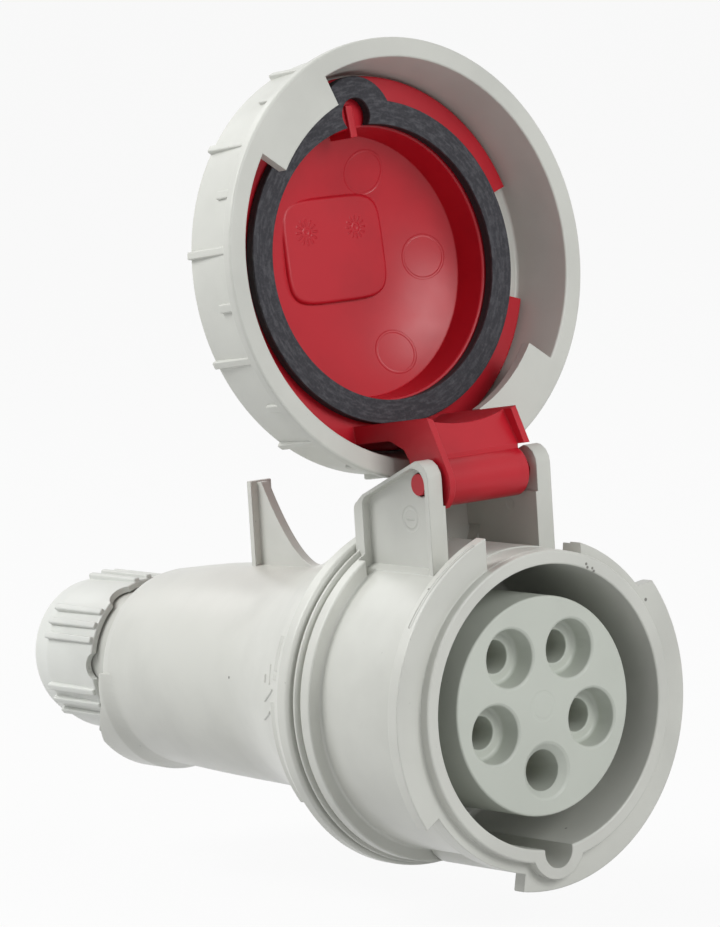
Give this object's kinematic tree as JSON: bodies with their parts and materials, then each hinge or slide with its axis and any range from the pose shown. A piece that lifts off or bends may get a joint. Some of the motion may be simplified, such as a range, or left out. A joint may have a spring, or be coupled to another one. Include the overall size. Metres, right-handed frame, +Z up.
{
  "type": "industrial cable connector",
  "caption": "Watertight industrial cable connector: round socket with keyway, hinged red lid with gasket and bayonet locking ring, flared grip and screw cable gland.",
  "frame": {"origin": "centre of the collar's front face, where the mating plug enters", "axes": "-Y towards the mating plug, +Y back along the body to the cable gland, +Z up towards the lid's hinge, +X to the right seen from the plug"},
  "size_m": [0.1016, 0.1802, 0.1919],
  "materials": {
    "housing_grey": "light warm grey moulded plastic, satin",
    "carrier_grey": "light greenish grey moulded plastic, matt",
    "contact_brass": "turned brass, bright",
    "screw_steel": "plated steel screws",
    "black_rubber": "black rubber",
    "gasket_rubber": "charcoal rubber with a faint brushed skin",
    "gland_white": "near-white moulded plastic",
    "lid_red": "signal red moulded plastic, semi-gloss",
    "ring_grey": "light grey moulded plastic, satin"
  },
  "bodies": {
    "housing": {"front_housing": "housing_grey", "rear_housing": "housing_grey", "contact_carrier": "carrier_grey", "carrier_cover": "carrier_grey", "contact_earth": "contact_brass", "contact_neutral": "contact_brass", "contact_l3": "contact_brass", "contact_l2": "contact_brass", "contact_l1": "contact_brass", "terminal_screw_earth_1": "screw_steel", "terminal_screw_earth_2": "screw_steel", "terminal_screw_neutral_1": "screw_steel", "terminal_screw_neutral_2": "screw_steel", "terminal_screw_l3_1": "screw_steel", "terminal_screw_l3_2": "screw_steel", "terminal_screw_l2_1": "screw_steel", "terminal_screw_l2_2": "screw_steel", "terminal_screw_l1_1": "screw_steel", "terminal_screw_l1_2": "screw_steel", "housing_seal": "black_rubber", "gland_grommet": "black_rubber"},
    "lid": {"lid": "lid_red", "lid_gasket": "gasket_rubber"},
    "bayonet_ring": {"bayonet_ring": "ring_grey"},
    "gland_clamp": {"gland_clamp": "gland_white"},
    "gland_nut": {"gland_nut": "gland_white"}
  },
  "joints": [
    {"name": "lid_hinge", "type": "hinge", "parent": "housing", "child": "lid", "pos_m": [0, 0.0218, 0.0508], "axis": [1, 0, 0], "range_deg": [0, 186.9]},
    {"name": "ring_turn", "type": "hinge", "parent": "lid", "child": "bayonet_ring", "pos_m": [0, 0.04061, 0.09969], "axis": [0, -0.9928, 0.1201], "range_deg": [0, 45]},
    {"name": "gland_travel", "type": "slide", "parent": "housing", "child": "gland_clamp", "axis": [0, 1, 0], "range_m": [0, 0.00601]},
    {"name": "gland_nut_turn", "type": "hinge", "parent": "gland_clamp", "child": "gland_nut", "pos_m": [0, 0.165, 0], "axis": [0, 1, 0], "range_deg": [0, 1440]}
  ],
  "couplings": [
    {"joint": "gland_travel", "follows": "gland_nut_turn", "m_per_rad": 0.00023873}
  ]
}
